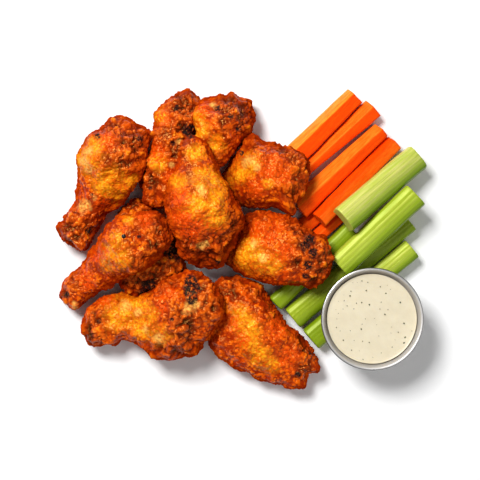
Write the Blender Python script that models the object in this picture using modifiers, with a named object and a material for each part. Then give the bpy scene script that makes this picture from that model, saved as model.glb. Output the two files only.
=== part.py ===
"""A serving of sauced fried chicken wings, as it lies on a table: ten wings in a
heap, six carrot sticks, six celery sticks and a flared steel cup of dip.

Driving sizes are in millimetres, and mm() turns them into Blender's metres.
+X runs to the cup's side, +Y to the far side, and Z = 0 is the table. Pieces are
laid from the table upwards, and each soft wing takes the dent of what it rests on.
"""

import math

import bmesh
import bpy
from mathutils import Matrix, Vector, noise
from mathutils.bvhtree import BVHTree

# ---------------------------------------------------------------- driving sizes
CUP_CENTRE = (82.0, -48.5)
CUP_HEIGHT = 32.0
CUP_BASE_R = 19.0  # where the outer wall's line meets the table
CUP_WALL = 0.8
RIM_R = 32.0  # over the rolled edge
RIM_BEAD_R = 1.2
BASE_EDGE_R = 3.0
DIP_DEPTH_BELOW_RIM = 3.7
TURN_STEPS = 40

MERGE_DIST = 0.01  # corners closer than this are one
FIT_GAP = 0.3  # between solids that touch
PRESS_GAP = 1.0  # between a wing's facets and what they rest on
PRESSED_THICKNESS = 14.0  # least thickness of a wing where it lies on another piece

WING_SEGMENTS = 20
WING_RINGS = 16
END_ROUNDNESS = 3.4  # exponent of the rounded ends, seen from above
SECTION_SQUARENESS = 2.25
LUMP_SIZE = 15.0
LUMP_HEIGHT = 1.5

CUTTER_SPARE = 5.0  # how far the cup's cutter runs past its foot and its rim
STRING_DEPTH = 0.45  # of the grooves between a celery stick's ribs


def mm(*values):
    """Millimetres to metres: one number, or a Vector of three."""
    scaled = [value * 0.001 for value in values]
    return scaled[0] if len(scaled) == 1 else Vector(scaled)


# ---------------------------------------------------------------- scene helpers
for old in list(bpy.data.objects):
    bpy.data.objects.remove(old, do_unlink=True)

SERVING = bpy.data.collections.new("chicken_wings_serving")
CUTTERS = bpy.data.collections.new("cutters")
for collection in (SERVING, CUTTERS):
    bpy.context.scene.collection.children.link(collection)


def material(name, colour, roughness, metallic=0.0):
    """A Principled material in one colour."""
    made = bpy.data.materials.new(name)
    made.use_nodes = True
    shader = made.node_tree.nodes["Principled BSDF"]
    shader.inputs["Base Color"].default_value = (*colour, 1.0)
    shader.inputs["Roughness"].default_value = roughness
    shader.inputs["Metallic"].default_value = metallic
    return made


CRUST = material("sauced_crust", (0.62, 0.16, 0.02), 0.35)
CARROT = material("carrot", (0.85, 0.21, 0.01), 0.45)
CELERY = material("celery", (0.45, 0.55, 0.09), 0.4)
STEEL = material("steel", (0.55, 0.54, 0.53), 0.2, metallic=1.0)
DIP = material("dip", (0.86, 0.79, 0.60), 0.3)


def add_object(name, mesh, finish, collection=SERVING):
    """Puts a mesh in the scene as one named object."""
    made = bpy.data.objects.new(name, mesh)
    collection.objects.link(made)
    mesh.materials.clear()
    mesh.materials.append(finish)
    return made


# ---------------------------------------------------------------- cup and dip
def arc(centre, radius, start_deg, end_deg, steps):
    """Points (r, z) of a round corner in a turned profile."""
    points = []
    for step in range(steps + 1):
        angle = math.radians(start_deg + (end_deg - start_deg) * step / steps)
        points.append(
            (centre[0] + radius * math.cos(angle), centre[1] + radius * math.sin(angle))
        )
    return points


def turned(name, profile, finish):
    """A solid turned about the cup's axis. The profile runs top to bottom."""
    mesh = bpy.data.meshes.new(name)
    points = [mm(r, 0.0, z) for r, z in profile]
    edges = [(i, i + 1) for i in range(len(points) - 1)]
    mesh.from_pydata(points, edges, [])
    made = add_object(name, mesh, finish)
    made.location = mm(*CUP_CENTRE, 0.0)
    screw = made.modifiers.new("turn", "SCREW")
    screw.steps = TURN_STEPS
    screw.render_steps = TURN_STEPS
    screw.use_merge_vertices = True
    screw.merge_threshold = mm(MERGE_DIST)
    screw.use_smooth_shade = True
    return made


BEAD_CENTRE = (RIM_R - RIM_BEAD_R, CUP_HEIGHT - RIM_BEAD_R)
WALL_SLANT = 1.065  # length along the wall for each millimetre of height
WALL_SLOPE = (
    BEAD_CENTRE[0] - RIM_BEAD_R + CUP_WALL * WALL_SLANT - CUP_BASE_R
) / BEAD_CENTRE[1]
BASE_CORNER = (
    CUP_BASE_R + WALL_SLOPE * BASE_EDGE_R - BASE_EDGE_R * WALL_SLANT,
    BASE_EDGE_R,
)
WALL_ANGLE = -math.degrees(math.atan(WALL_SLOPE))


def wall_r(z, inset=0.0):
    """Radius of the cup's wall at a height, inset square to its outer face."""
    return CUP_BASE_R + WALL_SLOPE * z - inset * WALL_SLANT


def make_cup():
    """Pressed steel: flat base, round base edge, flared wall, rolled rim."""
    inside = [(0.0, CUP_WALL)]
    inside += arc(BASE_CORNER, BASE_EDGE_R - CUP_WALL, -90, WALL_ANGLE, 3)
    rim = arc(BEAD_CENTRE, RIM_BEAD_R, 180, -90, 6)
    under_rim = CUP_HEIGHT - 2 * RIM_BEAD_R - 0.3
    outside = [(wall_r(under_rim), under_rim)]
    outside += arc(BASE_CORNER, BASE_EDGE_R, WALL_ANGLE, -90, 4)
    return turned("dip_cup", inside + rim + outside + [(0.0, 0.0)], STEEL)


def make_dip():
    """Thick dressing that fills the cup to just under its rim."""
    level = CUP_HEIGHT - DIP_DEPTH_BELOW_RIM
    inset = CUP_WALL + FIT_GAP
    edge = [(0.0, level), (wall_r(level, inset) - 0.7, level)]
    edge += [(wall_r(level - 0.5, inset), level - 0.5)]
    low = arc(BASE_CORNER, BASE_EDGE_R - inset, WALL_ANGLE, -90, 3)
    return turned("dip", edge + low + [(0.0, inset)], DIP)


# ---------------------------------------------------------------- cut sticks
def rounded_outline(corners, radius, steps=2):
    """A closed outline with each corner turned into a short arc."""
    outline = []
    for index, corner in enumerate(corners):
        here = Vector(corner)
        before = Vector(corners[index - 1]) - here
        after = Vector(corners[(index + 1) % len(corners)]) - here
        start = here + before.normalized() * min(radius, before.length * 0.45)
        end = here + after.normalized() * min(radius, after.length * 0.45)
        for step in range(steps + 1):
            share = step / steps
            blend = start.lerp(here, share).lerp(here.lerp(end, share), share)
            outline.append(blend)
    return outline


def carrot_outline(width, thick, ridge):
    """A stick cut from a round root: flat foot, low sides, a ridge off centre."""
    half = width / 2
    corners = [
        (-half, 0.6),
        (half, 0.0),
        (half, thick * 0.52),
        (ridge * half, thick),
        (-half, thick * 0.80),
    ]
    return rounded_outline(corners, 0.9)


def celery_outline(width, thick, ribs=6):
    """A split stalk: ribbed crown, upright cut sides and a hollow underside."""
    half = width / 2
    outline = [Vector((-half * 0.92, 0.0)), Vector((-half * 0.45, thick * 0.16))]
    outline += [Vector((half * 0.45, thick * 0.16)), Vector((half * 0.92, 0.0))]
    samples = ribs * 4
    for step in range(samples + 1):
        across = 1 - 2 * step / samples
        crown = thick * (0.62 + 0.38 * math.sqrt(max(0.0, 1 - across**4)))
        rib = STRING_DEPTH * (1 - math.cos(2 * math.pi * ribs * step / samples)) / 2
        outline.append(Vector((half * across, crown - STRING_DEPTH + rib)))
    return outline


def stick(name, near, far, outline, finish, taper=1.0):
    """A straight stick from near to far, the middles of its underside's ends.
    Taper is the near end's width as a share of the far end's."""
    start, end = mm(*near), mm(*far)
    run = end - start
    curve = bpy.data.curves.new(name, "CURVE")
    curve.dimensions = "2D"
    curve.fill_mode = "BOTH"
    curve.extrude = run.length / 2
    spline = curve.splines.new("POLY")
    spline.points.add(len(outline) - 1)
    for point, place in zip(spline.points, outline):
        point.co = (*(place * 0.001), 0.0, 1.0)
    spline.use_cyclic_u = True
    guide = bpy.data.objects.new(name + "_guide", curve)
    SERVING.objects.link(guide)
    graph = bpy.context.evaluated_depsgraph_get()
    mesh = bpy.data.meshes.new_from_object(guide.evaluated_get(graph))
    bpy.data.objects.remove(guide)

    shape = bmesh.new()
    shape.from_mesh(mesh)
    bmesh.ops.remove_doubles(shape, verts=shape.verts, dist=mm(MERGE_DIST))
    for vert in shape.verts:
        if vert.co.z < 0:
            vert.co.x *= taper
    shape.to_mesh(mesh)
    shape.free()

    made = add_object(name, mesh, finish)
    along = run.normalized()
    aside = Vector((0, 0, 1)).cross(along).normalized()
    frame = Matrix((aside, along.cross(aside), along)).transposed()
    made.matrix_world = Matrix.Translation((start + end) / 2) @ frame.to_4x4()
    return made


# name: near end (x, y, base), far end (x, y, base), width, thickness, ridge, taper
CARROTS = {
    "carrot_outer": ((30.0, 50.3, 0.1), (73.3, 93.0, 0.1), 12.8, 12.0, 0.3, 1.2),
    "carrot_inner": ((40.4, 44.0, 0.1), (85.1, 85.2, 0.1), 14.0, 11.0, 0.1, 0.5),
    "carrot_low_left": ((27.2, -1.3, 0.1), (55.6, 22.2, 0.1), 10.4, 9.0, 0.0, 1.0),
    "carrot_low_right": ((49.0, 3.2, 0.1), (80.5, 30.5, 0.1), 9.0, 9.0, 0.0, 1.0),
    "carrot_top_left": ((35.9, 20.4, 5.6), (89.7, 70.8, 0.2), 11.2, 11.8, 0.0, 1.42),
    "carrot_top_right": ((49.3, 13.0, 10.5), (97.9, 62.6, 0.2), 11.4, 10.2, 0.1, 1.0),
}

# name: near end, far end, width, thickness
CELERIES = {
    "celery_low_left": ((22.2, -40.1, 0.1), (70.8, 7.6, 0.1), 11.5, 12.6),
    "celery_long": ((33.2, -49.5, 0.1), (107.1, 13.1, 0.1), 15.6, 12.6),
    "celery_front": ((45.1, -62.9, 0.1), (62.0, -48.0, 0.1), 15.8, 12.4),
    "celery_far": ((88.2, -22.8, 0.1), (109.6, -4.7, 0.1), 14.0, 12.4),
    "celery_middle": ((62.3, -16.3, 13.2), (110.4, 29.2, 13.2), 17.0, 12.0),
    "celery_top": ((63.1, 12.1, 20.9), (111.1, 52.3, 4.8), 17.8, 12.6),
}


def cut_for_cup(obj):
    """Cuts a stick's hidden end back to where the cup's wall stands."""
    cutter = bpy.data.objects.get("cup_clearance")
    if cutter is None:
        mesh = bpy.data.meshes.new("cup_clearance")
        shape = bmesh.new()
        depth = CUP_HEIGHT + 2 * CUTTER_SPARE
        bmesh.ops.create_cone(
            shape,
            cap_ends=True,
            segments=TURN_STEPS,
            radius1=mm(wall_r(-CUTTER_SPARE, -FIT_GAP)),
            radius2=mm(wall_r(depth - CUTTER_SPARE, -FIT_GAP)),
            depth=mm(depth),
        )
        shape.to_mesh(mesh)
        shape.free()
        cutter = add_object("cup_clearance", mesh, STEEL, CUTTERS)
        cutter.location = mm(*CUP_CENTRE, depth / 2 - CUTTER_SPARE)
        cutter.hide_render = True
        cutter.display_type = "WIRE"
    cut = obj.modifiers.new("cup_clearance", "BOOLEAN")
    cut.operation = "DIFFERENCE"
    cut.object = cutter


# ---------------------------------------------------------------- wings
# Each wing is a ball drawn out along a line from heel to toe. Its plan is given
# by half widths left and right of that line, at even steps from heel to toe.
# name: heel (x, y, base), toe (x, y, base), left, right, thickness ratio
WINGS = {
    "wing_buried": (
        (-66.0, 28.0, 0.0),
        (-52.0, -36.0, 0.0),
        (6.0, 11.0, 16.0, 19.0, 21.0, 21.0, 15.0),
        (14.0, 19.0, 23.0, 24.0, 24.0, 24.0, 15.0),
        0.60,
    ),
    "wing_back_left": (
        (-57.5, 22.0, -0.4),
        (-33.2, 93.5, 0.0),
        (8.0, 12.0, 12.0, 12.0, 13.5, 14.0, 10.0),
        (14.0, 15.0, 16.0, 16.0, 15.0, 14.0, 13.0),
        0.90,
    ),
    "wing_back_right": (
        (-29.0, 46.0, -0.4),
        (4.6, 88.8, 0.0),
        (14.0, 17.0, 19.5, 21.0, 21.5, 19.0, 13.0),
        (12.0, 13.0, 13.0, 13.5, 14.0, 12.0, 11.0),
        0.86,
    ),
    "wing_front_right": (
        (-13.0, -24.0, -0.3),
        (40.5, -90.0, -0.3),
        (15.0, 16.0, 16.0, 15.0, 17.0, 19.5, 21.0),
        (17.0, 25.0, 31.0, 31.0, 25.0, 18.5, 14.0),
        0.58,
    ),
    "wing_left": (
        (-109.2, -3.4, -0.3),
        (-69.0, 77.5, -0.4),
        (13.0, 11.0, 10.0, 15.0, 20.0, 17.0, 14.0),
        (15.0, 12.5, 13.5, 20.0, 23.5, 21.5, 19.0),
        0.84,
    ),
    "wing_front_left": (
        (-100.0, -53.5, -0.4),
        (-10.8, -40.8, -0.4),
        (15.0, 18.0, 15.5, 19.0, 26.0, 27.0, 22.0),
        (19.0, 15.5, 16.0, 26.0, 29.0, 23.0, 13.0),
        0.72,
    ),
    "wing_right": (
        (-9.8, 39.5, -3.4),
        (43.8, 43.0, 11.0),
        (11.0, 16.0, 25.0, 21.0, 18.5, 15.5, 11.0),
        (11.0, 18.0, 18.5, 19.0, 20.0, 17.0, 14.0),
        0.80,
    ),
    "wing_centre_right": (
        (-11.0, -2.5, -2.8),
        (58.3, -13.0, 14.0),
        (15.0, 23.0, 25.5, 23.5, 20.5, 16.0, 12.0),
        (15.0, 16.5, 19.0, 19.5, 18.8, 18.2, 15.0),
        0.72,
    ),
    "wing_left_middle": (
        (-114.0, -39.3, -3.2),
        (-43.8, 9.0, 18.0),
        (11.0, 12.5, 13.5, 18.5, 22.5, 23.0, 20.0),
        (11.0, 9.5, 8.5, 11.0, 13.0, 12.5, 10.0),
        0.86,
    ),
    "wing_top": (
        (-30.2, 66.0, 24.4),
        (-17.0, -17.5, 9.5),
        (9.0, 11.0, 14.5, 20.0, 22.8, 17.0, 9.0),
        (10.0, 12.5, 18.5, 24.0, 20.5, 20.0, 13.0),
        0.84,
    ),
}


def smooth_at(values, share):
    """Catmull-Rom value through evenly spaced values, at 0 to 1 along them."""
    place = min(max(share, 0.0), 1.0) * (len(values) - 1)
    index = min(int(place), len(values) - 2)
    step = place - index
    a, b, c, d = (
        values[max(0, min(len(values) - 1, index + offset))] for offset in (-1, 0, 1, 2)
    )
    return 0.5 * (
        2 * b
        + (c - a) * step
        + (2 * a - 5 * b + 4 * c - d) * step**2
        + (3 * b - a - 3 * c + d) * step**3
    )


def spine_heights(start, run, heights, trees):
    """The wing's middle height at each ring, raised over what lies beneath."""
    raised = []
    for ring in range(WING_RINGS + 1):
        share = ring / WING_RINGS
        place = start + run * share
        below = top_at(trees, mm(place.x), mm(place.y), 0.2) * 1000
        level = place.z + smooth_at(heights, share)
        if below > 0:
            level = max(level, below + PRESS_GAP + PRESSED_THICKNESS / 2)
        raised.append(level)
    for _ in range(2):
        ends = [raised[0]] + raised + [raised[-1]]
        raised = [(ends[i] + 2 * ends[i + 1] + ends[i + 2]) / 4 for i in range(len(raised))]
    return raised


def signed_power(value, power):
    """A power that keeps the sign, for squarer or rounder sections."""
    return math.copysign(abs(value) ** power, value)


def lump_at(place):
    """The push of the flesh's soft lumps at a place, in millimetres."""
    pushes = [noise.noise(place + Vector((0.0, 0.0, 31.0 * axis))) for axis in range(3)]
    return Vector(pushes) * LUMP_HEIGHT


def make_wing(name, heel, toe, left, right, ratio, trees):
    """A wing: a ball drawn out to the plan widths, dented by what it lies against."""
    mesh = bpy.data.meshes.new(name)
    shape = bmesh.new()
    bmesh.ops.create_uvsphere(
        shape, u_segments=WING_SEGMENTS, v_segments=WING_RINGS, radius=1.0
    )
    start, end = Vector(heel), Vector(toe)
    run = end - start
    side = Vector((-run.y, run.x, 0.0)).normalized()
    seed = Vector((len(name) * 7.3, start.x, start.y))
    heights = [ratio * (a + b) / 2 for a, b in zip(left, right)]
    raised = spine_heights(start, run, heights, trees)
    centres = {}
    for vert in shape.verts:
        around = math.hypot(vert.co.x, vert.co.y)
        share = math.atan2(around, vert.co.z) / math.pi
        share = (1 - math.cos(share * math.pi)) * 0.3 + share * 0.4
        end_cap = (1 - abs(2 * share - 1) ** END_ROUNDNESS) ** (1 / END_ROUNDNESS)
        across = signed_power(vert.co.x / max(around, 1e-6), 2 / SECTION_SQUARENESS)
        upward = signed_power(vert.co.y / max(around, 1e-6), 2 / SECTION_SQUARENESS)
        if around < 1e-6:
            across = upward = 0.0
        centre = start + run * share
        centre.z = smooth_at(raised, share)
        width = smooth_at(left if across > 0 else right, share) * end_cap
        height = smooth_at(heights, share) * end_cap
        place = centre + side * (across * width) + Vector((0, 0, upward * height))
        place += lump_at((place + seed) / LUMP_SIZE)
        centres[vert] = centre * 0.001
        vert.co = place * 0.001
        for _ in range(24):
            if is_clear(vert.co, trees):
                break
            vert.co = centres[vert].lerp(vert.co, 0.9)
        vert.co.z = max(vert.co.z, 0.0)
    bmesh.ops.triangulate(shape, faces=shape.faces)
    squeeze_clear(shape, centres, trees)
    shape.normal_update()
    bmesh.ops.recalc_face_normals(shape, faces=shape.faces)
    shape.to_mesh(mesh)
    shape.free()
    mesh.shade_smooth()
    return add_object(name, mesh, CRUST)


def world_tree(obj):
    """A search tree over an object's evaluated faces, in world space."""
    graph = bpy.context.evaluated_depsgraph_get()
    shape = bmesh.new()
    shape.from_object(obj, graph)
    shape.transform(obj.matrix_world)
    bmesh.ops.triangulate(shape, faces=shape.faces)
    tree = BVHTree.FromBMesh(shape)
    shape.free()
    return tree


def top_at(trees, x, y, ceiling):
    """The highest surface under a ceiling height, over a point of the table."""
    highest = 0.0
    for tree in trees:
        hit = tree.ray_cast(Vector((x, y, ceiling)), Vector((0, 0, -1)))
        if hit[0] is not None and hit[0].z > highest:
            highest = hit[0].z
    return highest


def is_clear(place, trees):
    """Whether a point is outside every laid piece, by the press gap."""
    for tree in trees:
        nearest, normal, _, distance = tree.find_nearest(place, 0.02)
        if nearest is None:
            continue
        if distance < mm(PRESS_GAP) or (place - nearest).dot(normal) < 0:
            return False
    return True


def squeeze_clear(shape, centres, trees):
    """Draws in the corners of faces that still cross another piece."""
    for _ in range(30):
        shape.faces.ensure_lookup_table()
        own = BVHTree.FromBMesh(shape)
        crossing = {pair[0] for tree in trees for pair in own.overlap(tree)}
        if not crossing:
            break
        corners = {vert for index in crossing for vert in shape.faces[index].verts}
        for vert in corners:
            vert.co = centres[vert].lerp(vert.co, 0.95)


# ---------------------------------------------------------------- lay the serving
def centre_on_origin():
    """Moves the whole serving so that its box stands centred on the origin."""
    graph = bpy.context.evaluated_depsgraph_get()
    places = []
    for obj in SERVING.objects:
        shown = obj.evaluated_get(graph)
        places += [obj.matrix_world @ vert.co for vert in shown.to_mesh().vertices]
        shown.to_mesh_clear()
    x_span = [place.x for place in places]
    y_span = [place.y for place in places]
    middle = Vector((min(x_span) + max(x_span), min(y_span) + max(y_span), 0.0)) / 2
    for obj in list(SERVING.objects) + list(CUTTERS.objects):
        obj.location -= middle


def main():
    """Lays every piece, bottom layer first, then centres the whole serving."""
    make_cup()
    make_dip()
    for name, (near, far, width, thick, ridge, taper) in CARROTS.items():
        outline = carrot_outline(width, thick, ridge)
        stick(name, near, far, outline, CARROT, taper)
    for name, (near, far, width, thick) in CELERIES.items():
        made = stick(name, near, far, celery_outline(width, thick), CELERY)
        if name in ("celery_front", "celery_far", "celery_long"):
            cut_for_cup(made)
    bpy.context.view_layer.update()

    trees = [world_tree(obj) for obj in SERVING.objects]
    for name, shape in WINGS.items():
        wing = make_wing(name, *shape, trees)
        trees.append(world_tree(wing))
    centre_on_origin()


main()
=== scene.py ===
"""A serving of crisp fried chicken wings in hot sauce, with carrot and celery
sticks and a small steel cup of herb dressing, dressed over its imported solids."""

import math
import random

import bpy
import numpy as np
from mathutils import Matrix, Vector, noise


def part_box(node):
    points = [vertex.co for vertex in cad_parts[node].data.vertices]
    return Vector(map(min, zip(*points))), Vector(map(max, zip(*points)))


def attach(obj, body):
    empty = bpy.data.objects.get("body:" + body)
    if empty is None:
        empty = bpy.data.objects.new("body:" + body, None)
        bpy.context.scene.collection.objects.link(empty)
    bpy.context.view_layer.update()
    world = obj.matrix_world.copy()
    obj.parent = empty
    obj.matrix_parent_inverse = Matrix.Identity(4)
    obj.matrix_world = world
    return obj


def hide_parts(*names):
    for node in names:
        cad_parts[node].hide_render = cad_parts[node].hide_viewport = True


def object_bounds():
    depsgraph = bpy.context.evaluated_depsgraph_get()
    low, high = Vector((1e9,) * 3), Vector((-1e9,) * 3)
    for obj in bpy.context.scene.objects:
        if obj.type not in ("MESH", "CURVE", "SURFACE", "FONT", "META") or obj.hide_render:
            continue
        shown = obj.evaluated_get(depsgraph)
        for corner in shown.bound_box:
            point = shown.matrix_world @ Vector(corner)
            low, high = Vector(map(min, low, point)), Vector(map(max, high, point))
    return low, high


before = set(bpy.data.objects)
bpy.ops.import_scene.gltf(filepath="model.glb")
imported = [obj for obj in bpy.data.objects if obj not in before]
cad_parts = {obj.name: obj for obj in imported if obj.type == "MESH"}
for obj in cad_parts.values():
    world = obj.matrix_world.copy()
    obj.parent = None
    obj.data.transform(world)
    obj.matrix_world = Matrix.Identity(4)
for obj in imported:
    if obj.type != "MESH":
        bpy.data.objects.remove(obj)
cad_low, cad_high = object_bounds()
MM = 0.001


# ---------------------------------------------------------------- table
# A plain pale table top under the whole serving: one flat sheet, matt and even,
# and wide enough that no edge of it shows.
TABLE_SIZE = 6.0
TABLE_WHITE = (0.96, 0.96, 0.96, 1.0)


def shader_nodes(name):
    """A new material, with its node tree and its shader."""
    made = bpy.data.materials.new(name)
    made.use_nodes = True
    return made, made.node_tree, made.node_tree.nodes["Principled BSDF"]


table_middle = (cad_low + cad_high) / 2
bpy.ops.object.select_all(action="DESELECT")
bpy.ops.mesh.primitive_plane_add(
    size=TABLE_SIZE, location=(table_middle.x, table_middle.y, 0.0)
)
table_top = bpy.context.object
table_top.name = "table_top"
pale_table, _, pale_shader = shader_nodes("pale_table")
pale_shader.inputs["Base Color"].default_value = TABLE_WHITE
pale_shader.inputs["Roughness"].default_value = 0.7
table_top.data.materials.append(pale_table)


# ---------------------------------------------------------------- light and camera
# A soft window at the back left, a broad weak one at the front right, and a dim
# even room. The camera hangs straight above the serving and looks down.
SERVING_MIDDLE = Vector((table_middle.x, table_middle.y, 0.02))
ROOM_WHITE = (1.0, 1.0, 1.0, 1.0)
ROOM_STRENGTH = 0.15
CAMERA_HEIGHT = 0.9
CAMERA_ASIDE = Vector((-0.00140, -0.00141, 0.0))
CAMERA_SENSOR = 36.0
CAMERA_LENS = 104.76


def soft_window(name, place, size, watts):
    """A square area light that faces the middle of the serving."""
    lamp = bpy.data.lights.new(name, "AREA")
    lamp.shape = "SQUARE"
    lamp.size = size
    lamp.energy = watts
    holder = bpy.data.objects.new(name, lamp)
    bpy.context.scene.collection.objects.link(holder)
    holder.location = place
    facing = SERVING_MIDDLE - Vector(place)
    holder.rotation_euler = facing.to_track_quat("-Z", "Y").to_euler()


soft_window("key_window", place=(-0.42, 0.50, 0.95), size=0.42, watts=16.6)
soft_window("fill_window", place=(0.50, -0.40, 0.95), size=0.90, watts=3.0)

room = bpy.data.worlds.new("even_room")
room.use_nodes = True
room_light = room.node_tree.nodes["Background"]
room_light.inputs["Color"].default_value = ROOM_WHITE
room_light.inputs["Strength"].default_value = ROOM_STRENGTH
bpy.context.scene.world = room
bpy.context.scene.view_settings.view_transform = "Standard"

eye = bpy.data.cameras.new("overhead")
eye.sensor_width = CAMERA_SENSOR
eye.lens = CAMERA_LENS
overhead = bpy.data.objects.new("overhead", eye)
bpy.context.scene.collection.objects.link(overhead)
overhead.location = Vector((table_middle.x, table_middle.y, CAMERA_HEIGHT)) + CAMERA_ASIDE
bpy.context.scene.camera = overhead


# ---------------------------------------------------------------- wings
# Fried chicken wings: skin and meat in a thin craggy crust, tossed in hot sauce.
# Each is grown from its solid: an even fine grid, then bulges, crust nuggets and
# crumbs raised from the surface, with smooth golden skin where the crust is thin.
MERGE_WITHIN = 0.00001
WING_GRID = 0.00085
WING_SMOOTHING = 16
ABOVE_TABLE = 0.0002

# How thick the coating is, how far crumbs wander from an even pattern, and then
# how wide each feature of the surface is, all in millimetres.
COATING = 0.5
WANDERING = 0.9
BULGE = 13.0
LUMP = 6.0
CLUMP = 5.5
NUGGET = 3.7
WANDER = 3.6
PIMPLE = 2.6
CRUMB = 1.8

# The crust runs from the orange of its tips down to dark painted shade in its seams.
CRUST_AND_SEAM_SHADE_COLOURS = [
    (0.0, (0.04, 0.004, 0.0008)),
    (0.25, (0.17, 0.014, 0.001)),
    (0.5, (0.43, 0.045, 0.002)),
    (0.75, (0.70, 0.105, 0.004)),
    (1.0, (0.92, 0.25, 0.006)),
]
SKIN_COLOURS = [
    (0.0, (0.52, 0.032, 0.001)),
    (0.45, (0.76, 0.080, 0.001)),
    (1.0, (0.92, 0.18, 0.003)),
]
GOLD_COLOURS = [(0.38, (0.88, 0.15, 0.001)), (0.66, (1.0, 0.50, 0.012))]
# Painted shade for the skin's creases.
SKIN_CREASE_SHADE = (0.34, 0.02, 0.001)
RED_SAUCE = (0.78, 0.065, 0.002)
# Painted shade for the steep flanks of each wing.
FLANK_SHADE = (0.33, 0.025, 0.001)
# Pale joint and fat, also used for pale painted highlights.
BARE_JOINT_AND_HIGHLIGHT = (0.88, 0.46, 0.09)
CHAR = (0.016, 0.010, 0.010)
SAUCE_SHEEN = (1.0, 0.50, 0.11, 1.0)


def even_copy(node, name, grid, smoothing):
    """A new piece with a node's shape, on an even grid of small faces."""
    piece = bpy.data.objects.new(name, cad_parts[node].data.copy())
    bpy.context.scene.collection.objects.link(piece)
    bpy.ops.object.select_all(action="DESELECT")
    piece.select_set(True)
    bpy.context.view_layer.objects.active = piece
    bpy.ops.object.mode_set(mode="EDIT")
    bpy.ops.mesh.select_all(action="SELECT")
    bpy.ops.mesh.remove_doubles(threshold=MERGE_WITHIN)
    bpy.ops.object.mode_set(mode="OBJECT")
    even = piece.modifiers.new("even", "REMESH")
    even.mode = "VOXEL"
    even.voxel_size = grid
    bpy.ops.object.modifier_apply(modifier="even")
    soft = piece.modifiers.new("soft", "SMOOTH")
    soft.factor = 0.5
    soft.iterations = smoothing
    bpy.ops.object.modifier_apply(modifier="soft")
    return piece


def finer(piece):
    """Splits each face in four, smoothly."""
    bpy.context.view_layer.objects.active = piece
    fine = piece.modifiers.new("fine", "SUBSURF")
    fine.levels = 1
    fine.render_levels = 1
    bpy.ops.object.modifier_apply(modifier="fine")


def vertex_table(piece, what):
    """Vertex places or normals as rows of three."""
    values = np.empty(len(piece.data.vertices) * 3, dtype=np.float32)
    if what == "place":
        piece.data.vertices.foreach_get("co", values)
    else:
        piece.data.vertex_normals.foreach_get("vector", values)
    return values.reshape(-1, 3).astype(float)


def reshape(piece, place):
    """Moves a piece's vertices to new places."""
    piece.data.vertices.foreach_set("co", place.astype(np.float32).ravel())
    piece.data.update()


def smooth_faces(piece):
    """Shades a whole piece smooth."""
    bpy.ops.object.select_all(action="DESELECT")
    piece.select_set(True)
    bpy.context.view_layer.objects.active = piece
    bpy.ops.object.shade_smooth()


def coat(piece, finish):
    """Gives a piece one material and no other."""
    piece.data.materials.clear()
    piece.data.materials.append(finish)


def store(piece, name, values):
    """Keeps one number for each vertex, for the piece's material to read."""
    layer = piece.data.attributes.new(name, "FLOAT", "POINT")
    layer.data.foreach_set("value", np.clip(values, -4.0, 4.0).astype(np.float32))


def sampled(points, size, seed):
    """Noise at every point, for features about size millimetres across."""
    scale = 1.0 / (size * MM)
    return np.array([noise.noise(Vector(p) * scale + seed) for p in points])


def grains(points, size, seed):
    """Rounded crumbs of uneven height, and how near each point is to a seam
    between two of them. Both run from 0 to 1."""
    scale = 1.0 / (size * MM)
    height = np.empty(len(points))
    seam = np.empty(len(points))
    for index, point in enumerate(points):
        away, middles = noise.voronoi(Vector(point) * scale + seed)
        grown = 0.5 + 0.5 * noise.cell(middles[0] * 3.7)
        height[index] = grown * math.sqrt(max(0.0, 1.0 - (away[0] / 0.8) ** 2))
        seam[index] = max(0.0, 1.0 - (away[1] - away[0]) / 0.25)
    return height, seam


def radii_away(points, middle, x, y, radius):
    """How many radii each point is from a spot, seen from above. The spot is in
    millimetres from the middle of the solid."""
    dx = points[:, 0] - middle.x - x * MM
    dy = points[:, 1] - middle.y - y * MM
    return np.hypot(dx, dy) / (radius * MM)


def near_spots(points, middle, spots, ragged):
    """How far into any of the spots (x, y, radius) each point lies, 0 to 1."""
    amount = np.zeros(len(points))
    for x, y, radius in spots:
        away = radii_away(points, middle, x, y, radius) + ragged
        amount = np.maximum(amount, np.clip(1.5 - away, 0.0, 1.0))
    return amount


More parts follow.
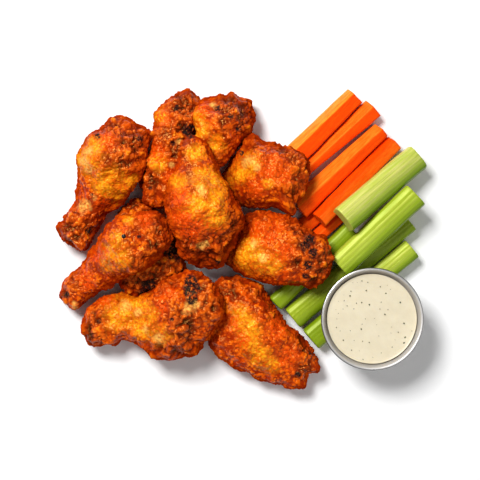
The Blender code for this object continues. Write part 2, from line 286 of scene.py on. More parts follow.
def fried_wing(
    node, seed, crusty, golden=(), saucy=(), burnt=(), bare_and_highlit=(), lobes=(), pulls=(), rough=0.15
):
    """One wing. Spots (x, y, radius) are in millimetres from the middle of its
    solid, seen from above: crusty where the crust is thick, golden where smooth
    skin shows, saucy where the sauce is red, burnt where it is char, and
    bare_and_highlit where pale joint and fat show and where pale painted
    highlights are laid. Lobes (x, y, radius, height) bulge or dip, and pulls
    (x, y, radius, aside, ahead) are where skin is drawn out. Rough is how much
    crust grows everywhere else, and seed makes each wing's crust its own."""
    wing = even_copy(node, node + "_fried", WING_GRID, WING_SMOOTHING)
    finer(wing)
    low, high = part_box(node)
    middle = (low + high) / 2
    offset = Vector((seed * 3.1, seed * 1.7, seed * 5.3))
    place = vertex_table(wing, "place")
    out = vertex_table(wing, "normal")

    bulge = sampled(place, BULGE, offset)
    lump = sampled(place, LUMP, offset * 1.3)
    small = sampled(place, PIMPLE, offset * 0.7)
    clump = sampled(place, CLUMP, offset * 2.3)
    drift = [sampled(place, WANDER, offset + Vector((0.0, 0.0, 17.0 * k))) for k in range(3)]
    bent = place + np.stack(drift, axis=1) * (WANDERING * MM)
    nugget, seam = grains(bent, NUGGET, offset)
    crumb, fine_seam = grains(bent, CRUMB, offset * 1.9)

    ragged = lump * 0.35 + small * 0.2
    crust = near_spots(place, middle, crusty, ragged)
    crust = np.clip(np.maximum(crust, rough + 0.9 * bulge + 0.35 * lump), 0.0, 1.0)
    gold = near_spots(place, middle, golden, ragged)
    red = near_spots(place, middle, saucy, ragged)
    char = near_spots(place, middle, burnt, ragged * 1.2)
    bare_and_highlight = near_spots(place, middle, bare_and_highlit, ragged * 2.2)
    crust = np.clip(crust * (1.0 - 0.75 * gold), 0.0, 1.0)

    # Heights above the solid, in millimetres.
    craggy = 1.7 * nugget + 1.1 * crumb + 1.4 * clump + 0.3 * small - 0.3 * seam - 1.1
    skin = 0.35 * small + 0.65 * (crumb - 0.5) - 0.15 * fine_seam
    relief = crust * craggy + (1.0 - crust) * skin
    rise = 1.8 * bulge + 1.6 * lump
    for x, y, radius, height in lobes:
        away = radii_away(place, middle, x, y, radius)
        rise += height * np.exp(-(away**2) * 1.6)
    place += out * ((rise + relief + COATING) * MM)[:, None]
    for x, y, radius, aside, ahead in pulls:
        drawn = np.exp(-(radii_away(place, middle, x, y, radius) ** 2))
        place[:, 0] += aside * drawn * MM
        place[:, 1] += ahead * drawn * MM
    place[:, 2] = np.maximum(place[:, 2], ABOVE_TABLE)
    reshape(wing, place)
    smooth_faces(wing)

    store(wing, "crust", crust)
    store(wing, "height", crust * craggy + (1.0 - crust) * skin * 1.6)
    store(wing, "steep", np.clip(1.0 - out[:, 2], 0.0, 1.0))
    store(wing, "golden", gold)
    store(wing, "saucy", red)
    store(wing, "burnt", char)
    store(wing, "bare_and_highlit", bare_and_highlight)
    coat(wing, hot_sauce)
    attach(wing, "root")
    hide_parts(node)


def reading(tree, attribute, output="Fac"):
    """One of the numbers or vectors stored on a piece."""
    node = tree.nodes.new("ShaderNodeAttribute")
    node.attribute_name = attribute
    return node.outputs[output]


def ramp(tree, source, stops):
    """A colour ramp over a source, from (position, colour) stops."""
    node = tree.nodes.new("ShaderNodeValToRGB")
    while len(node.color_ramp.elements) < len(stops):
        node.color_ramp.elements.new(0.5)
    for element, (position, colour) in zip(node.color_ramp.elements, stops):
        element.position = position
        element.color = (*colour, 1.0)
    tree.links.new(source, node.inputs["Fac"])
    return node.outputs["Color"]


def mixed(tree, share, first, second):
    """A colour that runs from first to second as share runs from 0 to 1. On a
    Mix node for colours, sockets 0, 6 and 7 are the share and the two colours."""
    node = tree.nodes.new("ShaderNodeMix")
    node.data_type = "RGBA"
    for socket, value in ((0, share), (6, first), (7, second)):
        if isinstance(value, tuple):
            node.inputs[socket].default_value = (*value, 1.0)
        else:
            tree.links.new(value, node.inputs[socket])
    return node.outputs[2]


def worked(tree, operation, *values, clamp=False):
    """A Math node over numbers or sockets."""
    node = tree.nodes.new("ShaderNodeMath")
    node.operation = operation
    node.use_clamp = clamp
    for socket, value in zip(node.inputs, values):
        if isinstance(value, (int, float)):
            socket.default_value = value
        else:
            tree.links.new(value, socket)
    return node.outputs[0]


def spread(tree, source, low, high):
    """A source mapped from low..high to 0..1 and held there."""
    node = tree.nodes.new("ShaderNodeMapRange")
    node.inputs["From Min"].default_value = low
    node.inputs["From Max"].default_value = high
    tree.links.new(source, node.inputs["Value"])
    return node.outputs["Result"]


def grain(tree, size, detail=3.0, rough=0.6):
    """Noise on the piece's own coordinates, about size millimetres across."""
    place = tree.nodes.new("ShaderNodeTexCoord")
    node = tree.nodes.new("ShaderNodeTexNoise")
    node.inputs["Scale"].default_value = 1.0 / (size * MM)
    node.inputs["Detail"].default_value = detail
    node.inputs["Roughness"].default_value = rough
    tree.links.new(place.outputs["Object"], node.inputs["Vector"])
    return node.outputs["Fac"]


def bumped(tree, shader, source, depth, strength):
    """Fine relief in the shading, no deeper than depth."""
    bump = tree.nodes.new("ShaderNodeBump")
    bump.inputs["Distance"].default_value = depth
    bump.inputs["Strength"].default_value = strength
    tree.links.new(source, bump.inputs["Height"])
    tree.links.new(bump.outputs["Normal"], shader.inputs["Normal"])


hot_sauce, sauce_tree, sauce_shader = shader_nodes("hot_sauce_on_crust")
raised = reading(sauce_tree, "height")
steep = reading(sauce_tree, "steep")
patches = grain(sauce_tree, 9.0, 4.0)
specks = grain(sauce_tree, 1.6, 3.0, 0.7)

# Crust with painted shade in its seams, over skin with painted shade in its creases.
speckled = worked(sauce_tree, "MULTIPLY_ADD", specks, 1.8, -0.9)
crust_and_seam_shade = ramp(
    sauce_tree,
    spread(sauce_tree, worked(sauce_tree, "ADD", raised, speckled), -1.5, 1.5),
    CRUST_AND_SEAM_SHADE_COLOURS,
)
skin_tone = worked(sauce_tree, "MULTIPLY_ADD", specks, 0.35, patches)
skin_colour = ramp(sauce_tree, spread(sauce_tree, skin_tone, 0.42, 0.85), SKIN_COLOURS)
crease_shade = spread(sauce_tree, raised, 0.05, -0.45)
skin_colour = mixed(sauce_tree, crease_shade, skin_colour, SKIN_CREASE_SHADE)
body_colour = mixed(sauce_tree, reading(sauce_tree, "crust"), skin_colour, crust_and_seam_shade)

# Gold, then red sauce, then pale joint and fat along with pale painted highlights, each broken
# up by the noise.
golden_share = worked(
    sauce_tree,
    "MULTIPLY",
    reading(sauce_tree, "golden"),
    spread(sauce_tree, patches, 0.25, 0.6),
)
gold_colour = ramp(sauce_tree, specks, GOLD_COLOURS)
body_colour = mixed(sauce_tree, golden_share, body_colour, gold_colour)
red_share = worked(
    sauce_tree,
    "MULTIPLY",
    reading(sauce_tree, "saucy"),
    spread(sauce_tree, specks, 0.62, 0.42),
)
body_colour = mixed(sauce_tree, red_share, body_colour, RED_SAUCE)
bare_and_highlight_share = worked(
    sauce_tree,
    "MULTIPLY",
    reading(sauce_tree, "bare_and_highlit"),
    spread(sauce_tree, specks, 0.25, 0.65),
)
body_colour = mixed(sauce_tree, bare_and_highlight_share, body_colour, BARE_JOINT_AND_HIGHLIGHT)

# Painted shade: the steep flanks, turned from the light, are darkened to a deep sauce red, less
# so on golden skin.
flank_shade_share = worked(
    sauce_tree,
    "MULTIPLY",
    spread(sauce_tree, steep, 0.15, 0.95),
    worked(sauce_tree, "MULTIPLY_ADD", golden_share, -0.5, 0.85),
)
body_colour = mixed(sauce_tree, flank_shade_share, body_colour, FLANK_SHADE)
char_share = worked(
    sauce_tree,
    "MULTIPLY",
    spread(sauce_tree, reading(sauce_tree, "burnt"), 0.1, 0.6),
    spread(sauce_tree, specks, 0.66, 0.48),
)
body_colour = mixed(sauce_tree, char_share, body_colour, CHAR)
sauce_tree.links.new(body_colour, sauce_shader.inputs["Base Color"])

# Wet sauce shines most on top, and hardly at all where it is char.
gloss = worked(
    sauce_tree,
    "MULTIPLY",
    worked(sauce_tree, "MULTIPLY_ADD", char_share, -0.6, 0.72, clamp=True),
    worked(sauce_tree, "MULTIPLY_ADD", steep, -2.2, 1.15, clamp=True),
)
sauce_tree.links.new(gloss, sauce_shader.inputs["Specular IOR Level"])
sauce_shader.inputs["Specular Tint"].default_value = SAUCE_SHEEN
sauce_shader.inputs["Roughness"].default_value = 0.20
bumped(sauce_tree, sauce_shader, specks, 0.0004, 0.9)

# Far left: a drumette, its thin end to the front.
fried_wing(
    "wing_left",
    1.0,
    crusty=[(18, 22, 12), (14, 8, 9), (25, 30, 7), (6, 36, 8), (-15, -32, 13), (-20, -24, 9)],
    golden=[(-9, 14, 9), (-5, 21, 6), (4, 0, 9), (9, -8, 6), (17, 2, 5)],
    saucy=[(3, 25, 5), (-1, -12, 4)],
    burnt=[(-2.5, 28.5, 1.6), (23, 27, 1.8), (-9, -31, 1.8), (-7, -8, 1.0)],
    bare_and_highlit=[(-5.5, -9.5, 1.8), (-11, -14, 3.5), (-8, 19, 2.8), (-10, 13, 2.8), (-9, 8, 2)],
    lobes=[
        (27, 31, 4, 2.0),
        (-14, 15, 4, 1.5),
        (-14, 9, 3, -1.0),
        (-27, -29, 3.5, 2.2),
        (-23, -34, 4, 1.2),
        (-15, -40, 4.5, 2.0),
        (-10, -31, 3, -1.5),
        (-8, 27, 4, 1.2),
        (3, -15, 4, -1.5),
    ],
)

# At the back, left: crusty all over, with char beside its neighbour.
fried_wing(
    "wing_back_left",
    2.0,
    crusty=[(6, 28, 14), (6, 12, 10), (2, 0, 7), (-14, -20, 9), (-9, 12, 6)],
    golden=[(-7, -8, 5), (-6, 21, 4)],
    saucy=[(-4, 20, 5), (-8, -3, 6), (3, -18, 6)],
    burnt=[(13, 12, 4.0), (4, 27, 1.2), (2, 4, 1.6), (-12, -24, 1.2)],
    bare_and_highlit=[(1, -9.5, 1.6), (5, 5, 2)],
    lobes=[
        (11, 34, 4.5, 2.5),
        (4, 31, 3.5, 1.5),
        (-6, 22, 5, 1.5),
        (-9, 11, 3, 1.0),
        (2, 3, 3, -1.8),
        (10, 22, 3, -1.2),
        (-15, -12, 5, 1.0),
    ],
    rough=0.35,
)

# At the back, right: a flap of golden skin, crusty behind it.
fried_wing(
    "wing_back_right",
    3.0,
    crusty=[(4, 20, 9), (13, 14, 9), (15, 4, 6)],
    golden=[(-13, 11, 4), (-12, 2, 5), (-3, -7, 5)],
    saucy=[(-9, 14, 4), (8, -3, 4)],
    burnt=[(-2, 16, 1.4), (6, 10, 1.6), (11, 3, 1.8)],
    pulls=[(-12, 12, 8, -3.5, 0.5)],
    bare_and_highlit=[(-5, 18, 1.5)],
    lobes=[
        (6, 23, 3.2, 2.5),
        (16, 20, 4.5, 2.0),
        (19, 13, 3, 1.0),
        (8, 15, 3, 1.2),
        (11, 3, 3, -2.0),
        (2, 12.5, 2, -0.8),
        (-12, 14, 5, 1.2),
        (1, 3, 6, 1.2),
    ],
)

# On top of the pile: a drumette, its thin end to the back.
fried_wing(
    "wing_top",
    4.0,
    crusty=[(3, -31, 12), (15, -26, 9), (-10, -28, 8), (19, -13, 7), (-16, 32, 7), (-24, 2, 6)],
    golden=[(-4, 30, 5), (4, 12, 9), (-3, -2, 7), (-15, 12, 5), (8, 2, 6), (8, -9, 7)],
    saucy=[(-13, 2, 6), (-5, -15, 9), (-18, 24, 5), (-13, -8, 6)],
    burnt=[(-8, 42, 3), (-17, 25, 1.2), (4, -23, 1.0), (9, -35, 1.2)],
    bare_and_highlit=[(0, 6, 2.6), (-1, -28, 2.6), (3, -26, 1.8), (-13, 38, 2)],
    lobes=[
        (-26, 1, 5, 1.8),
        (24, -8, 6, 1.6),
        (19, -25, 4, 1.8),
        (9, -37, 4, 2.2),
        (-8, -35, 5, 1.6),
        (-16, -26, 3, 1.2),
        (9, -28, 3, 1.5),
        (4, -23, 3, -1.8),
        (-2, -29, 3, -1.2),
        (12, -34, 2.5, -1.5),
        (-3, 8, 9, 1.0),
        (-12, -8, 5, -0.8),
    ],
)

# Beside the carrots: a tag of skin is drawn out at its front.
fried_wing(
    "wing_right",
    5.0,
    crusty=[(-10, 18, 6), (18, 13, 8), (24, 2, 8), (18, -10, 7), (8, 15, 6)],
    golden=[(-12, 5, 7), (-17, -1, 6), (-24, -6, 4), (0, -8, 3)],
    saucy=[(3, 3, 8), (-6, -10, 5), (10, -4, 5)],
    burnt=[(16, -17, 1.2), (-16, 12, 1.2)],
    bare_and_highlit=[(-12, 6, 3.4), (-6, 2, 2.4)],
    lobes=[
        (-10, 20, 5, 1.8),
        (-2, 14, 4, -1.0),
        (19, 12, 4, 1.4),
        (12, 9, 3, -1.2),
        (27, 0, 4, 1.2),
        (21, -13, 4, 1.2),
        (14, -15, 3, -1.0),
    ],
    pulls=[(12, -18, 5.5, 4.5, -8.5)],
)

# Over the celery: golden skin on its left, char on its right.
fried_wing(
    "wing_centre_right",
    6.0,
    crusty=[(15, 8, 9), (10, 15, 7), (30, -4, 8), (24, -18, 8), (12, -6, 6), (-12, 19, 6)],
    golden=[(-17, 2, 6), (-13, -7, 8), (-22, -6, 7), (-4, -9, 6)],
    saucy=[(-5, 10, 9), (3, -2, 6), (-14, 12, 6)],
    burnt=[(17, 2, 2.8), (20, 6, 3), (21, -3, 2.8), (18, -10, 2.8), (17, -17, 1.8)],
    bare_and_highlit=[(-15, 3, 2.2), (-10, -6, 2.2)],
    lobes=[
        (34, -4, 4, 1.2),
        (20, -22, 4, 1.0),
        (27, 8, 4, 1.0),
        (19, 1, 3.5, -1.8),
        (18, -10, 3.5, -1.5),
        (27, -8, 4, 1.0),
        (-13, -2, 3, -0.8),
    ],
)

# At the front, right: long and smooth, crusty along its back right edge.
fried_wing(
    "wing_front_right",
    7.0,
    crusty=[
        (-19, 30, 8),
        (-2, 25, 6),
        (8, 13, 6),
        (18, 4, 6),
        (26, -4, 7),
        (31, -13, 7),
        (28, -24, 6),
    ],
    golden=[(-9, 5, 7), (-7, -5, 6), (-2, -14, 7), (6, -21, 5), (-14, 14, 4)],
    saucy=[(-12, -6, 4), (17, -16, 7), (10, 3, 6), (-20, 4, 5)],
    burnt=[(23, -27, 2), (31, -14, 1.3)],
    lobes=[
        (35, -24, 4.5, 2.8),
        (25, -33, 4.5, 2.5),
        (29, -27, 3, -2.0),
        (21, -30, 3, -1.5),
        (-3, 27, 4, 1.2),
        (5, 20, 3, 1.0),
        (-30, -9, 5, 1.0),
        (14, 3, 4, -0.8),
    ],
    rough=-0.15,
)

# At the front, left: the largest, with bare joint beside its char.
fried_wing(
    "wing_front_left",
    8.0,
    crusty=[
        (20, -5, 10),
        (35, 5, 9),
        (33, 19, 8),
        (10, 22, 8),
        (-35, -5, 8),
        (-38, -14, 8),
        (5, -20, 6),
        (18, -18, 9),
    ],
    golden=[(-15, 3, 12), (-6, 0, 9), (-22, 0, 9), (5, -12, 6), (-5, -9, 6)],
    saucy=[(7, 6, 5), (14, 14, 5), (-30, 9, 5)],
    burnt=[(26, 16, 4.5), (25, 21, 3.4), (26, 10, 2.8), (14, -2, 1.2), (-33, -4, 1.6)],
    bare_and_highlit=[(24, 5, 3.6), (28, 7, 2.4), (5, -14, 3), (-9, 1, 2.4), (-16, 5, 3), (-3, -8, 2.4)],
    lobes=[
        (-42, -8, 4.5, 1.8),
        (-38, -15, 4.5, 1.4),
        (-25, -17, 4, 1.8),
        (-19, -16, 4, -1.4),
        (11, -25, 5.5, 2.2),
        (26, -22, 4, 2.4),
        (0, -24, 4, 1.2),
        (42, 10, 5, 1.2),
        (20, -7, 4, 1.6),
        (15, -12, 2.5, -1.6),
        (32, 0, 4, 1.2),
        (25, 7, 3, -1.4),
        (-33, -4, 2.5, -1.4),
        (8, 20, 4, 1.4),
    ],
)

# Left of the middle: a drumette, its thin end to the front left.
fried_wing(
    "wing_left_middle",
    9.0,
    crusty=[(17, 26, 6), (27, 22, 8), (28, 10, 7), (15, -2, 6), (-25, -12, 6), (-33, -24, 5)],
    golden=[(1.5, 4, 8), (-2, 0, 6), (3, 14, 4), (10, 26, 3)],
    saucy=[(-10, 5, 6), (20, 26, 5), (-17, -12, 6)],
    burnt=[(-31, -22, 1.6), (17, 15, 1.0)],
    bare_and_highlit=[(-26, -28, 1.8)],
    lobes=[
        (27, 20, 5, 1.6),
        (26, 9, 5, 1.6),
        (14, -2, 5, 1.2),
        (-26, -28, 3, 1.4),
        (-34, -23, 3, 1.2),
        (17, 17, 3, -2.2),
        (16, 8, 3, -1.8),
        (-31, -21, 2.5, -1.4),
    ],
)

# In the gap under the others: crusty and partly charred.
fried_wing(
    "wing_buried",
    10.0,
    crusty=[(2, 23, 20), (-4, -27, 20), (21, -8, 20)],
    burnt=[(2, -27, 6), (18, -2, 6)],
    rough=0.8,
)


# ---------------------------------------------------------------- pepper
# One whole peppercorn, black and round, stuck by the sauce to the drumette left
# of the middle. It is a small ball, sunk in the top of the skin it lies on.
PEPPER_R = 0.0014
PEPPER_ASIDE = Vector((0.0078, 0.0150, 0.0))
PEPPER_SUNK = 0.15
PEPPER_BLACK = (0.006, 0.005, 0.005, 1.0)

pepper_wing = bpy.data.objects["wing_left_middle_fried"]
wing_low, wing_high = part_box("wing_left_middle")
pepper_at = (wing_low + wing_high) / 2 + PEPPER_ASIDE
skin_place = vertex_table(pepper_wing, "place")
beside = np.hypot(skin_place[:, 0] - pepper_at.x, skin_place[:, 1] - pepper_at.y)
pepper_at.z = skin_place[beside < PEPPER_R * 0.6, 2].max() - PEPPER_R * PEPPER_SUNK
bpy.ops.mesh.primitive_ico_sphere_add(subdivisions=3, radius=PEPPER_R, location=pepper_at)
peppercorn = bpy.context.object
peppercorn.name = "peppercorn"
bpy.ops.object.transform_apply(location=True, rotation=True, scale=True)
bpy.ops.object.shade_smooth()
black_pepper, _, pepper_shader = shader_nodes("black_pepper")
pepper_shader.inputs["Base Color"].default_value = PEPPER_BLACK
pepper_shader.inputs["Roughness"].default_value = 0.25
coat(peppercorn, black_pepper)
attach(peppercorn, "root")


# ---------------------------------------------------------------- carrots
# Sticks cut from fresh peeled carrots: firm, moist and bright, with fine fibres
# along them. One cut face of each is paler: partly the paler core, and partly
# painted light, with the deeper orange left as painted shade where a face lies
# in shadow. Each is its solid with the edges eased and the faces slightly wavy.
STICK_GRID = 0.00055
STICK_ABOVE_TABLE = 0.0001
CARROT_SMOOTHING = 3
CARROT_WAVE = 0.35
CARROT_RICH = [(0.3, (0.84, 0.048, 0.001)), (0.7, (0.95, 0.080, 0.001))]
# The paler core, also used as painted light on the lit faces.
CARROT_CORE_AND_LIGHT = [(0.3, (0.88, 0.15, 0.004)), (0.7, (0.95, 0.31, 0.024))]
CARROT_SHEEN = (1.0, 0.40, 0.06, 1.0)
LIGHT_REACH = 0.002


def cut_stick(node, finish, smoothing):
    """A stick with its edges eased. Each vertex keeps its place across, along
    and up the stick, so that fibres can run with it."""
    stick = even_copy(node, node + "_stick", STICK_GRID, smoothing)
    place = vertex_table(stick, "place")
    centred = place - place.mean(axis=0)
    along = np.linalg.svd(centred[::7], full_matrices=False)[2][0]
    along = along if along[0] + along[1] > 0 else -along
    across = np.cross(along, (0.0, 0.0, 1.0))
    across /= np.linalg.norm(across)
    upward = np.cross(across, along)
    grown = np.stack([centred @ across, centred @ along, centred @ upward], axis=1)
    layer = stick.data.attributes.new("grown", "FLOAT_VECTOR", "POINT")
    layer.data.foreach_set("vector", grown.astype(np.float32).ravel())
    out = vertex_table(stick, "normal")
    store(stick, "aside", grown[:, 0] / np.abs(grown[:, 0]).max())
    store(stick, "end_face", np.abs(out @ along))
    smooth_faces(stick)
    coat(stick, finish)
    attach(stick, "root")
    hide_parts(node)
    return stick, place, out, out @ across


def move_out(stick, place, out, rise):
    """Moves each vertex out along its normal by rise millimetres."""
    place = place + out * (rise * MM)[:, None]
    place[:, 2] = np.maximum(place[:, 2], STICK_ABOVE_TABLE)
    reshape(stick, place)


def fibres(tree, across_size, along_size):
    """Noise drawn out along the stick, on its grown coordinates."""
    stretch = tree.nodes.new("ShaderNodeMapping")
    stretch.inputs["Scale"].default_value = (
        1.0 / (across_size * MM),
        1.0 / (along_size * MM),
        1.0 / (across_size * MM),
    )
    tree.links.new(reading(tree, "grown", "Vector"), stretch.inputs["Vector"])
    node = tree.nodes.new("ShaderNodeTexNoise")
    node.inputs["Scale"].default_value = 1.0
    node.inputs["Detail"].default_value = 2.0
    tree.links.new(stretch.outputs["Vector"], node.inputs["Vector"])
    return node.outputs["Fac"]


def moist(shader, share, reach):
    """Lets some light a little way into moist food, in each colour its own way."""
    shader.inputs["Subsurface Weight"].default_value = share
    shader.inputs["Subsurface Radius"].default_value = reach
    shader.inputs["Subsurface Scale"].default_value = LIGHT_REACH


carrot_flesh, carrot_tree, carrot_shader = shader_nodes("carrot_flesh")
streak = fibres(carrot_tree, 0.8, 7.0)
carrot_colour = mixed(
    carrot_tree,
    reading(carrot_tree, "pale"),
    ramp(carrot_tree, streak, CARROT_RICH),
    ramp(carrot_tree, streak, CARROT_CORE_AND_LIGHT),
)
carrot_tree.links.new(carrot_colour, carrot_shader.inputs["Base Color"])
carrot_shader.inputs["Roughness"].default_value = 0.42
carrot_shader.inputs["Specular Tint"].default_value = CARROT_SHEEN
moist(carrot_shader, 0.12, (1.0, 0.35, 0.08))
bumped(carrot_tree, carrot_shader, streak, 0.0002, 0.5)

# How much paler a face is made, partly for the pale core and partly as painted
# light and shade: above zero on its back left face, and below zero on its front
# right one.
for number, (node, core_and_light_side) in enumerate(
    (
        ("carrot_outer", 1.0),
        ("carrot_inner", 0.5),
        ("carrot_top_left", 0.65),
        ("carrot_top_right", -0.45),
        ("carrot_low_left", 0.1),
        ("carrot_low_right", 0.1),
    )
):
    carrot, place, out, facing = cut_stick(node, carrot_flesh, CARROT_SMOOTHING)
    core_and_light = np.clip(0.3 - core_and_light_side * facing * 3.0, 0.0, 1.0) * abs(core_and_light_side)
    store(carrot, "pale", core_and_light)
    waver = sampled(place, 11.0, Vector((number * 4.7, 0.0, 0.0)))
    move_out(carrot, place, out, CARROT_WAVE * waver)


# ---------------------------------------------------------------- celery
# Sticks cut from crisp celery stalks: pale yellow-green on the ribbed outside,
# with strings along the whole length, darkened with painted shade down the side
# turned from the light and on the lower sticks. Each is its solid with the ribs
# eased and the faces slightly wavy.
CELERY_WAVE = 0.4
CELERY_RIBS = [
    (0.38, (0.38, 0.49, 0.015)),
    (0.52, (0.50, 0.58, 0.035)),
    (0.66, (0.64, 0.69, 0.10)),
]
CELERY_PALE_DARK = (0.46, 0.52, 0.09)
CELERY_PALE_LIGHT = (0.70, 0.64, 0.23)
# Painted shade for the side of each stick turned from the light.
CELERY_SIDE_SHADE = (0.13, 0.235, 0.002)
CELERY_END = (0.50, 0.58, 0.10)
# Painted shade, deep green, for the lower sticks lying in shadow.
CELERY_DEEP_SHADE = (0.21, 0.31, 0.005)
CELERY_SHEEN = (0.9, 1.0, 0.35, 1.0)

celery_flesh, celery_tree, celery_shader = shader_nodes("celery_flesh")
string = fibres(celery_tree, 0.9, 22.0)
broad = fibres(celery_tree, 2.6, 60.0)
deep_shade_share = reading(celery_tree, "deep_shade")

# The ribbed outside, light and dark by its strings, and paler on some sticks.
ribbing = worked(
    celery_tree, "MULTIPLY_ADD", string, 0.38, worked(celery_tree, "MULTIPLY", broad, 0.64)
)
pale_ribs = mixed(
    celery_tree, spread(celery_tree, string, 0.36, 0.64), CELERY_PALE_DARK, CELERY_PALE_LIGHT
)
celery_colour = mixed(
    celery_tree,
    reading(celery_tree, "paler"),
    ramp(celery_tree, ribbing, CELERY_RIBS),
    pale_ribs,
)

# Then painted shade, dark green, down the side turned from the light; the cut ends; and painted
# shade, deep green, over the lower sticks.
side_shade = spread(celery_tree, reading(celery_tree, "aside"), -0.25, 0.85)
celery_colour = mixed(celery_tree, side_shade, celery_colour, CELERY_SIDE_SHADE)
cut_end = spread(celery_tree, reading(celery_tree, "end_face"), 0.6, 0.9)
celery_colour = mixed(celery_tree, cut_end, celery_colour, CELERY_END)
celery_colour = mixed(celery_tree, deep_shade_share, celery_colour, CELERY_DEEP_SHADE)
celery_tree.links.new(celery_colour, celery_shader.inputs["Base Color"])
celery_shader.inputs["Roughness"].default_value = 0.36
celery_shader.inputs["Specular Tint"].default_value = CELERY_SHEEN
moist(celery_shader, 0.15, (0.8, 1.0, 0.25))
strung = worked(
    celery_tree, "MULTIPLY", string, worked(celery_tree, "MULTIPLY_ADD", deep_shade_share, -0.8, 1.0)
)
bumped(celery_tree, celery_shader, strung, 0.0003, 0.6)

# How much painted shade, in deep green, each stick gets, how pale it is, and how far its ribs
# are eased.
for number, (node, deep_shade, paler, smoothing) in enumerate(
    (
        ("celery_top", 0.0, 0.65, 5),
        ("celery_middle", 0.35, 0.1, 4),
        ("celery_long", 0.65, 0.0, 12),
        ("celery_far", 0.2, 0.2, 8),
        ("celery_low_left", 1.0, 0.0, 12),
        ("celery_front", 1.0, 0.0, 12),
    )
):
    celery, place, out, _ = cut_stick(node, celery_flesh, smoothing)
    store(celery, "deep_shade", np.full(len(place), deep_shade))
    store(celery, "paler", np.full(len(place), paler))
    waver = sampled(place, 14.0, Vector((number * 3.9, 7.0, 0.0)))
    move_out(celery, place, out, CELERY_WAVE * waver)


# ---------------------------------------------------------------- dip cup
# A small cup pressed from thin stainless steel and polished, with a flared wall
# and a rolled rim. It is drawn out ring by ring, from the middle of its floor up
# the inside, over the rim and down the outside.
cup_low, cup_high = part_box("dip_cup")
CUP = (cup_low + cup_high) / 2
CUP_RIM_R = (cup_high.x - cup_low.x) / 2
CUP_TOP = cup_high.z
SHEET = 0.0006
BEAD = 0.0009
UNDER_BEAD = 0.0004
FOOT_R = 0.0169
FOOT_CORNER = 0.003
FIRST_RING_R = 0.004
TURNED_STEPS = 128
STEEL_BRIGHT = (0.74, 0.72, 0.70)
# Painted shade for the rim where it curls over and down.
STEEL_CURL_SHADE = (0.10, 0.09, 0.09)


def ringed(name, profile, middle):
    """A turned skin, drawn ring by ring through a profile of (radius, height)."""
    radius, height = profile[0]
    bpy.ops.object.select_all(action="DESELECT")
    bpy.ops.mesh.primitive_circle_add(
        vertices=TURNED_STEPS,
        radius=radius,
        fill_type="NGON",
        location=(middle.x, middle.y, height),
    )
    piece = bpy.context.object
    piece.name = name
    bpy.ops.object.mode_set(mode="EDIT")
    bpy.ops.mesh.select_all(action="SELECT")
    bpy.ops.mesh.select_mode(type="EDGE")
    for next_radius, next_height in profile[1:]:
        bpy.ops.mesh.extrude_edges_move(
            TRANSFORM_OT_translate={"value": (0.0, 0.0, next_height - height)}
        )
        scale = next_radius / radius
        bpy.ops.transform.resize(
            value=(scale, scale, 1.0), center_override=(middle.x, middle.y, next_height)
        )
        radius, height = next_radius, next_height
    bpy.ops.mesh.edge_face_add()
    bpy.ops.mesh.select_all(action="SELECT")
    bpy.ops.mesh.normals_make_consistent(inside=False)
    bpy.ops.object.mode_set(mode="OBJECT")
    bpy.ops.object.transform_apply(location=True, rotation=True, scale=True)
    return piece


def corner(centre, radius, start, end, steps):
    """Points of a round corner, from one angle to another in degrees."""
    across, up = centre
    points = []
    for step in range(steps + 1):
        angle = math.radians(start + (end - start) * step / steps)
        points.append((across + radius * math.cos(angle), up + radius * math.sin(angle)))
    return points


bead_middle = (CUP_RIM_R - BEAD, CUP_TOP - BEAD)
foot_middle = (FOOT_R, FOOT_CORNER)
cup_profile = [(FIRST_RING_R, SHEET)]
cup_profile += corner(foot_middle, FOOT_CORNER - SHEET, -90, -20, 6)
cup_profile += corner(bead_middle, BEAD, 180, -90, 14)
cup_profile += [(bead_middle[0] - BEAD + SHEET * 1.1, CUP_TOP - 2 * BEAD - UNDER_BEAD)]
cup_profile += corner(foot_middle, FOOT_CORNER, -20, -90, 8)
cup_profile += [(FIRST_RING_R, 0.0)]
cup = ringed("polished_dip_cup", cup_profile, CUP)
bpy.ops.object.shade_smooth_by_angle(angle=math.radians(40))

# Inward faces are duller. Painted shade: the rim's colour is darkened where it curls over and
# down.
cup_place = vertex_table(cup, "place")
cup_out = vertex_table(cup, "normal")
from_axis = (cup_place - np.array(CUP)) * (1.0, 1.0, 0.0)
from_axis /= np.linalg.norm(from_axis, axis=1)[:, None]
cup_turn = (cup_out * from_axis).sum(axis=1)
on_rim = cup_place[:, 2] > CUP_TOP - 2.2 * BEAD
store(cup, "inner_wall", np.clip(-1.6 * cup_turn, 0.0, 1.0))
store(cup, "curl_shade", np.clip(2.0 * cup_turn - 0.8, 0.0, 1.0) * on_rim)

polished, polish_tree, polish_shader = shader_nodes("polished_steel")
mottle = spread(polish_tree, grain(polish_tree, 3.0, 4.0), 0.3, 0.7)
inner_wall = reading(polish_tree, "inner_wall")
polish_rough = worked(polish_tree, "MULTIPLY_ADD", mottle, 0.10, 0.26)
polish_rough = worked(polish_tree, "MULTIPLY_ADD", inner_wall, 0.3, polish_rough)
polish_metal = worked(polish_tree, "MULTIPLY_ADD", inner_wall, -0.3, 1.0)
steel_grey = mixed(polish_tree, reading(polish_tree, "curl_shade"), STEEL_BRIGHT, STEEL_CURL_SHADE)
polish_tree.links.new(polish_rough, polish_shader.inputs["Roughness"])
polish_tree.links.new(polish_metal, polish_shader.inputs["Metallic"])
polish_tree.links.new(steel_grey, polish_shader.inputs["Base Color"])
coat(cup, polished)
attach(cup, "root")
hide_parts("dip_cup")


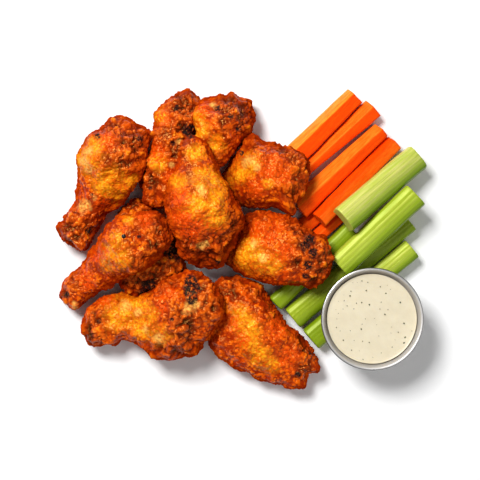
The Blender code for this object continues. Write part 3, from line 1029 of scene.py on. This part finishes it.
# ---------------------------------------------------------------- dip
# Thick cream-coloured herb dressing, level in the cup, with a soft wave where it
# was spooned in and a thin meniscus up the steel.
dip_low, dip_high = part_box("dip")
DIP_LEVEL = dip_high.z
DIP_R = (dip_high.x - dip_low.x) / 2
DIP_RINGS = 24
DIP_UNDER = 0.0012
DIP_WAVE = 0.0006
MENISCUS = [(-0.0012, 0.0001), (-0.0002, 0.0005), (-0.0004, -0.001)]
CREAM_COLOURS = [(0.3, (0.68, 0.595, 0.42)), (0.7, (0.74, 0.66, 0.48))]

# Level out to the meniscus, then down inside the steel and back to the middle.
dip_profile = [(0.0005, DIP_LEVEL)]
dip_profile += [(DIP_R * ring / DIP_RINGS, DIP_LEVEL) for ring in range(1, DIP_RINGS - 1)]
dip_profile += [(DIP_R + across, DIP_LEVEL + up) for across, up in MENISCUS]
dip_profile += [(0.0186, 0.0042), (0.0165, DIP_UNDER), (0.002, DIP_UNDER)]
dip = ringed("herb_dressing", dip_profile, CUP)
dip_place = vertex_table(dip, "place")
on_top = dip_place[:, 2] > DIP_LEVEL - 0.0003
swell = sampled(dip_place, 17.0, Vector((2.0, 5.0, 1.0)))
inward = 1.0 - np.hypot(dip_place[:, 0] - CUP.x, dip_place[:, 1] - CUP.y) / DIP_R
wave = swell * np.clip(inward * 4.0, 0.0, 1.0) * DIP_WAVE
dip_place[:, 2] += np.where(on_top, wave, 0.0)
reshape(dip, dip_place)
bpy.ops.object.shade_smooth_by_angle(angle=math.radians(50))

dressing, dressing_tree, dressing_shader = shader_nodes("cream_dressing")
cream = ramp(dressing_tree, grain(dressing_tree, 8.0, 4.0), CREAM_COLOURS)
dressing_tree.links.new(cream, dressing_shader.inputs["Base Color"])
dressing_shader.inputs["Roughness"].default_value = 0.35
moist(dressing_shader, 0.2, (1.0, 0.8, 0.5))
coat(dip, dressing)
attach(dip, "root")
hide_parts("dip")


# ---------------------------------------------------------------- herbs
# Dried herb flakes and cracked pepper stirred into the dressing, from fine to
# coarse. Each is a small flat grain, half sunk in the surface.
FLAKES = 56
FLAKE_GAP = 0.0027
FLAKE_REACH = 0.93
FLAKE_LIFT = Vector((0.0, 0.0, 0.0002))
FLAKE_SIZES = (0.00018, 0.00024, 0.0003, 0.00036, 0.0005)
HERB_COLOURS = [(0.35, (0.05, 0.055, 0.02)), (0.65, (0.14, 0.15, 0.05))]

herb_green, herb_tree, herb_shader = shader_nodes("dried_herb")
herb_colour = ramp(herb_tree, grain(herb_tree, 2.0), HERB_COLOURS)
herb_tree.links.new(herb_colour, herb_shader.inputs["Base Color"])
herb_shader.inputs["Roughness"].default_value = 0.6

spoon = random.Random(12)
flakes = []
dotted = []
while len(dotted) < FLAKES:
    turn = spoon.uniform(0.0, 2.0 * math.pi)
    out_by = DIP_R * FLAKE_REACH * math.sqrt(spoon.random())
    spot = Vector((CUP.x + out_by * math.cos(turn), CUP.y + out_by * math.sin(turn), DIP_LEVEL))
    if any((spot - other).length < FLAKE_GAP for other in dotted):
        continue
    dotted.append(spot)
    bpy.ops.mesh.primitive_ico_sphere_add(
        subdivisions=1,
        radius=spoon.choice(FLAKE_SIZES),
        location=spot + FLAKE_LIFT,
        rotation=(0.0, 0.0, spoon.uniform(0.0, 3.1)),
        scale=(spoon.uniform(0.8, 1.6), 1.0, 0.5),
    )
    flakes.append(bpy.context.object)
bpy.ops.object.select_all(action="DESELECT")
for flake in flakes:
    flake.select_set(True)
bpy.context.view_layer.objects.active = flakes[0]
bpy.ops.object.join()
bpy.ops.object.transform_apply(location=True, rotation=True, scale=True)
herbs = bpy.context.object
herbs.name = "herb_flakes"
coat(herbs, herb_green)
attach(herbs, "root")
